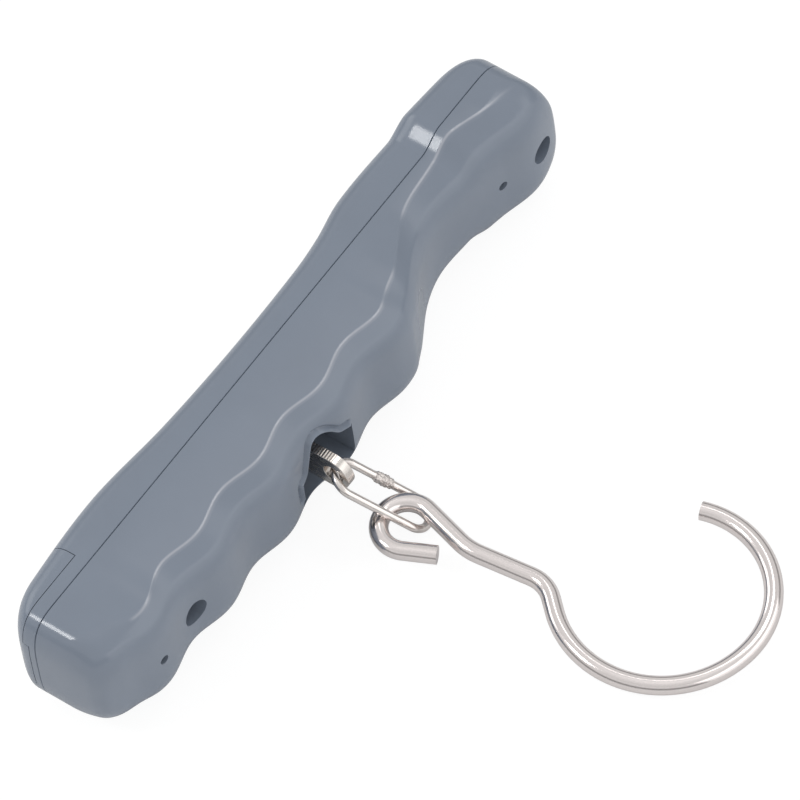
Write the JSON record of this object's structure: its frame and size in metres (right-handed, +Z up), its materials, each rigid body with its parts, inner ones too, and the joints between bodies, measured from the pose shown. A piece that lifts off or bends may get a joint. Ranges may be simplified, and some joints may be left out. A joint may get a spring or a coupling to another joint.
{
  "type": "digital luggage scale",
  "caption": "Hand-held hanging scale: grooved moulded grip with a flared display head, a stirrup plate, an oval wire link and an open wire hook.",
  "frame": {"origin": "on the grip's lower flat side wall, at mid-length, on the parting plane of the two shells", "axes": "X along the handle towards the display head, Y towards the display side (the hook hangs towards -Y), Z up with the handle lying on its side as in the picture"},
  "size_m": [0.148, 0.1126, 0.0307],
  "materials": {
    "shell": "glossy moulded ABS, blue-grey",
    "clear_lens": "clear acrylic",
    "lcd": "polished, grey-green liquid crystal cell",
    "white_plastic": "matte moulded",
    "pink_rubber": "matte silicone",
    "board_green": "solder mask on glass-fibre laminate",
    "black_resin": "glossy epoxy drop",
    "black_plastic": "matte moulded",
    "button_blue": "glossy moulded, darker than the shells",
    "screw_steel": "zinc plated",
    "beam_aluminium": "milled",
    "gauge_foil": "amber film under clear coating",
    "red_insulation": "smooth insulation",
    "plate_steel": "stamped, satin",
    "link_steel": "bright nickel plate over drawn wire",
    "hook_steel": "bright nickel plate",
    "cell_steel": "drawn can",
    "contact_bronze": "plated spring bronze",
    "black_insulation": "smooth insulation"
  },
  "bodies": {
    "handle": {"bottom_shell": "shell", "top_shell": "shell", "display_window": "clear_lens", "lcd_glass": "lcd", "lcd_frame": "white_plastic", "zebra_strips": "pink_rubber", "circuit_board": "board_green", "chip_cover": "black_resin", "tact_switches": "black_plastic", "board_screws": "screw_steel", "load_cell": "beam_aluminium", "load_cell_spacer": "screw_steel", "load_cell_screws": "screw_steel", "strain_gauges": "gauge_foil", "gauge_wires": "red_insulation", "hanger_plate": "plate_steel", "battery_tray": "black_plastic", "coin_cell": "cell_steel", "positive_contact": "contact_bronze", "negative_contact": "contact_bronze", "battery_wires": "black_insulation", "case_screws": "screw_steel"},
    "link": {"oval_link": "link_steel"},
    "hook": {"hook": "hook_steel"},
    "battery_door": {"battery_door": "shell"},
    "power_button": {"power_button": "button_blue", "power_plunger": "white_plastic"},
    "unit_button": {"unit_button": "button_blue", "unit_plunger": "white_plastic"}
  },
  "joints": [
    {"name": "link_swing", "type": "hinge", "parent": "handle", "child": "link", "pos_m": [-0.0104, -0.0209, 0.01275], "axis": [1, 0, 0], "range_deg": [-114.8, 35.2]},
    {"name": "hook_swing", "type": "hinge", "parent": "link", "child": "hook", "pos_m": [-0.0089, -0.03462, 0.00316], "axis": [-0.0201, -0.045, 0.9988], "range_deg": [-60, 60]},
    {"name": "power_press", "type": "slide", "parent": "handle", "child": "power_button", "axis": [0, -1, 0], "range_m": [0, 0.0004], "stiffness_N_per_m": 2500, "springref_m": -0.0002},
    {"name": "unit_press", "type": "slide", "parent": "handle", "child": "unit_button", "axis": [0, -1, 0], "range_m": [0, 0.0004], "stiffness_N_per_m": 2500, "springref_m": -0.0002},
    {"name": "door_slide", "type": "slide", "parent": "handle", "child": "battery_door", "axis": [-1, 0, 0], "range_m": [0, 0.02]}
  ]
}
